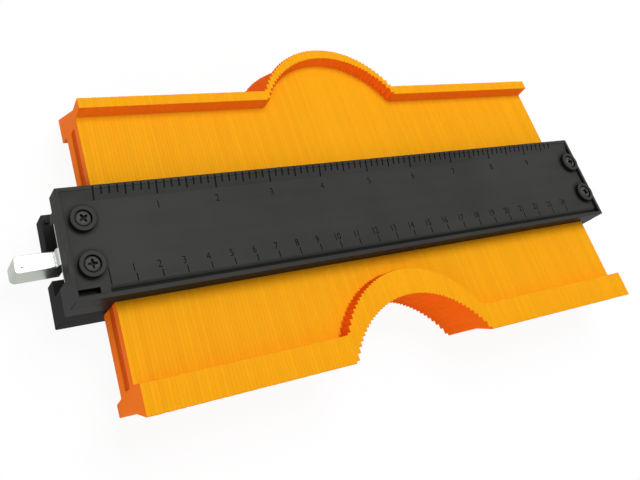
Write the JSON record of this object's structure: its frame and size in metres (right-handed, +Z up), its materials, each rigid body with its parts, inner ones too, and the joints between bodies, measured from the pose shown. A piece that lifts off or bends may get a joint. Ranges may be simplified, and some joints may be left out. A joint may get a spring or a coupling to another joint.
{
  "type": "contour gauge",
  "caption": "Profile-copying contour gauge: thin sliding plastic leaves held between two black ruler covers, with a steel cam lever at one end that locks the copied shape.",
  "frame": {"origin": "centre of the flat underside of the body's bottom cover", "axes": "+X along the ruler away from the lock lever, -Y towards the centimetre edge, +Z up out of the ruler face"},
  "size_m": [0.292, 0.151, 0.0325],
  "materials": {
    "cover": "black moulded plastic, satin, with engraved ruler ticks",
    "base": "black moulded plastic, satin",
    "leaf": "orange moulded plastic, semi-gloss",
    "lever": "bright plated steel stamping",
    "pin": "plain bright steel pin",
    "plate": "dark grey plastic pressure plate",
    "screw": "black-coated steel screw",
    "nut": "zinc-plated steel nut"
  },
  "bodies": {
    "body": {"bottom_cover": "base", "top_cover": "cover", "cover_screw_1": "screw", "cover_screw_2": "screw", "cover_screw_3": "screw", "cover_screw_4": "screw", "cover_nut_1": "nut", "cover_nut_2": "nut", "cover_nut_3": "nut", "cover_nut_4": "nut", "lever_pin": "pin"},
    "lever": {"lock_lever": "lever"},
    "plate": {"pressure_plate": "plate"},
    "leaf_set_01": {"leaf_set_01": "leaf"},
    "leaf_set_02": {"leaf_set_02": "leaf"},
    "leaf_set_03": {"leaf_set_03": "leaf"},
    "leaf_set_04": {"leaf_set_04": "leaf"},
    "leaf_set_05": {"leaf_set_05": "leaf"},
    "leaf_set_06": {"leaf_set_06": "leaf"},
    "leaf_set_07": {"leaf_set_07": "leaf"},
    "leaf_set_08": {"leaf_set_08": "leaf"},
    "leaf_set_09": {"leaf_set_09": "leaf"},
    "leaf_set_10": {"leaf_set_10": "leaf"},
    "leaf_set_11": {"leaf_set_11": "leaf"},
    "leaf_set_12": {"leaf_set_12": "leaf"},
    "leaf_set_13": {"leaf_set_13": "leaf"},
    "leaf_set_14": {"leaf_set_14": "leaf"},
    "leaf_set_15": {"leaf_set_15": "leaf"},
    "leaf_set_16": {"leaf_set_16": "leaf"},
    "leaf_set_17": {"leaf_set_17": "leaf"},
    "leaf_set_18": {"leaf_set_18": "leaf"},
    "leaf_set_19": {"leaf_set_19": "leaf"},
    "leaf_set_20": {"leaf_set_20": "leaf"},
    "leaf_set_21": {"leaf_set_21": "leaf"},
    "leaf_set_22": {"leaf_set_22": "leaf"},
    "leaf_set_23": {"leaf_set_23": "leaf"},
    "leaf_set_24": {"leaf_set_24": "leaf"},
    "leaf_set_25": {"leaf_set_25": "leaf"},
    "leaf_set_26": {"leaf_set_26": "leaf"},
    "leaf_set_27": {"leaf_set_27": "leaf"},
    "leaf_set_28": {"leaf_set_28": "leaf"},
    "leaf_set_29": {"leaf_set_29": "leaf"},
    "leaf_set_30": {"leaf_set_30": "leaf"},
    "leaf_set_31": {"leaf_set_31": "leaf"},
    "leaf_set_32": {"leaf_set_32": "leaf"},
    "leaf_set_33": {"leaf_set_33": "leaf"},
    "leaf_set_34": {"leaf_set_34": "leaf"},
    "leaf_set_35": {"leaf_set_35": "leaf"},
    "leaf_set_36": {"leaf_set_36": "leaf"},
    "leaf_set_37": {"leaf_set_37": "leaf"},
    "leaf_set_38": {"leaf_set_38": "leaf"},
    "leaf_set_39": {"leaf_set_39": "leaf"},
    "leaf_set_40": {"leaf_set_40": "leaf"}
  },
  "joints": [
    {"name": "lever_hinge", "type": "hinge", "parent": "body", "child": "lever", "pos_m": [-0.1362, -0.0013, 0.0211], "axis": [0, -1, 0], "range_deg": [0, 90]},
    {"name": "plate_slide", "type": "slide", "parent": "body", "child": "plate", "axis": [1, 0, 0], "range_m": [0, 0.0008]},
    {"name": "slide_01", "type": "slide", "parent": "body", "child": "leaf_set_01", "axis": [0, 1, 0], "range_m": [-0.0322, 0.029]},
    {"name": "slide_02", "type": "slide", "parent": "body", "child": "leaf_set_02", "axis": [0, 1, 0], "range_m": [-0.0322, 0.029]},
    {"name": "slide_03", "type": "slide", "parent": "body", "child": "leaf_set_03", "axis": [0, 1, 0], "range_m": [-0.0322, 0.029]},
    {"name": "slide_04", "type": "slide", "parent": "body", "child": "leaf_set_04", "axis": [0, 1, 0], "range_m": [-0.0322, 0.029]},
    {"name": "slide_05", "type": "slide", "parent": "body", "child": "leaf_set_05", "axis": [0, 1, 0], "range_m": [-0.0322, 0.029]},
    {"name": "slide_06", "type": "slide", "parent": "body", "child": "leaf_set_06", "axis": [0, 1, 0], "range_m": [-0.0322, 0.029]},
    {"name": "slide_07", "type": "slide", "parent": "body", "child": "leaf_set_07", "axis": [0, 1, 0], "range_m": [-0.0322, 0.029]},
    {"name": "slide_08", "type": "slide", "parent": "body", "child": "leaf_set_08", "axis": [0, 1, 0], "range_m": [-0.0322, 0.029]},
    {"name": "slide_09", "type": "slide", "parent": "body", "child": "leaf_set_09", "axis": [0, 1, 0], "range_m": [-0.0322, 0.029]},
    {"name": "slide_10", "type": "slide", "parent": "body", "child": "leaf_set_10", "axis": [0, 1, 0], "range_m": [-0.0322, 0.029]},
    {"name": "slide_11", "type": "slide", "parent": "body", "child": "leaf_set_11", "axis": [0, 1, 0], "range_m": [-0.0322, 0.029]},
    {"name": "slide_12", "type": "slide", "parent": "body", "child": "leaf_set_12", "axis": [0, 1, 0], "range_m": [-0.0322, 0.029]},
    {"name": "slide_13", "type": "slide", "parent": "body", "child": "leaf_set_13", "axis": [0, 1, 0], "range_m": [-0.0322, 0.029]},
    {"name": "slide_14", "type": "slide", "parent": "body", "child": "leaf_set_14", "axis": [0, 1, 0], "range_m": [-0.0322, 0.0285]},
    {"name": "slide_15", "type": "slide", "parent": "body", "child": "leaf_set_15", "axis": [0, 1, 0], "range_m": [-0.036, 0.0199]},
    {"name": "slide_16", "type": "slide", "parent": "body", "child": "leaf_set_16", "axis": [0, 1, 0], "range_m": [-0.0433, 0.0145]},
    {"name": "slide_17", "type": "slide", "parent": "body", "child": "leaf_set_17", "axis": [0, 1, 0], "range_m": [-0.048, 0.0109]},
    {"name": "slide_18", "type": "slide", "parent": "body", "child": "leaf_set_18", "axis": [0, 1, 0], "range_m": [-0.0511, 0.0086]},
    {"name": "slide_19", "type": "slide", "parent": "body", "child": "leaf_set_19", "axis": [0, 1, 0], "range_m": [-0.053, 0.0075]},
    {"name": "slide_20", "type": "slide", "parent": "body", "child": "leaf_set_20", "axis": [0, 1, 0], "range_m": [-0.0538, 0.0073]},
    {"name": "slide_21", "type": "slide", "parent": "body", "child": "leaf_set_21", "axis": [0, 1, 0], "range_m": [-0.053, 0.0075]},
    {"name": "slide_22", "type": "slide", "parent": "body", "child": "leaf_set_22", "axis": [0, 1, 0], "range_m": [-0.0511, 0.0086]},
    {"name": "slide_23", "type": "slide", "parent": "body", "child": "leaf_set_23", "axis": [0, 1, 0], "range_m": [-0.048, 0.0109]},
    {"name": "slide_24", "type": "slide", "parent": "body", "child": "leaf_set_24", "axis": [0, 1, 0], "range_m": [-0.0434, 0.0144]},
    {"name": "slide_25", "type": "slide", "parent": "body", "child": "leaf_set_25", "axis": [0, 1, 0], "range_m": [-0.0362, 0.0198]},
    {"name": "slide_26", "type": "slide", "parent": "body", "child": "leaf_set_26", "axis": [0, 1, 0], "range_m": [-0.0322, 0.0283]},
    {"name": "slide_27", "type": "slide", "parent": "body", "child": "leaf_set_27", "axis": [0, 1, 0], "range_m": [-0.0322, 0.029]},
    {"name": "slide_28", "type": "slide", "parent": "body", "child": "leaf_set_28", "axis": [0, 1, 0], "range_m": [-0.0322, 0.029]},
    {"name": "slide_29", "type": "slide", "parent": "body", "child": "leaf_set_29", "axis": [0, 1, 0], "range_m": [-0.0322, 0.029]},
    {"name": "slide_30", "type": "slide", "parent": "body", "child": "leaf_set_30", "axis": [0, 1, 0], "range_m": [-0.0322, 0.029]},
    {"name": "slide_31", "type": "slide", "parent": "body", "child": "leaf_set_31", "axis": [0, 1, 0], "range_m": [-0.0322, 0.029]},
    {"name": "slide_32", "type": "slide", "parent": "body", "child": "leaf_set_32", "axis": [0, 1, 0], "range_m": [-0.0322, 0.029]},
    {"name": "slide_33", "type": "slide", "parent": "body", "child": "leaf_set_33", "axis": [0, 1, 0], "range_m": [-0.0322, 0.029]},
    {"name": "slide_34", "type": "slide", "parent": "body", "child": "leaf_set_34", "axis": [0, 1, 0], "range_m": [-0.0322, 0.029]},
    {"name": "slide_35", "type": "slide", "parent": "body", "child": "leaf_set_35", "axis": [0, 1, 0], "range_m": [-0.0322, 0.029]},
    {"name": "slide_36", "type": "slide", "parent": "body", "child": "leaf_set_36", "axis": [0, 1, 0], "range_m": [-0.0322, 0.029]},
    {"name": "slide_37", "type": "slide", "parent": "body", "child": "leaf_set_37", "axis": [0, 1, 0], "range_m": [-0.0322, 0.029]},
    {"name": "slide_38", "type": "slide", "parent": "body", "child": "leaf_set_38", "axis": [0, 1, 0], "range_m": [-0.0322, 0.029]},
    {"name": "slide_39", "type": "slide", "parent": "body", "child": "leaf_set_39", "axis": [0, 1, 0], "range_m": [-0.0322, 0.029]},
    {"name": "slide_40", "type": "slide", "parent": "body", "child": "leaf_set_40", "axis": [0, 1, 0], "range_m": [-0.0322, 0.029]}
  ],
  "couplings": [
    {"joint": "plate_slide", "follows": "lever_hinge", "m_per_rad": 0.0005}
  ]
}
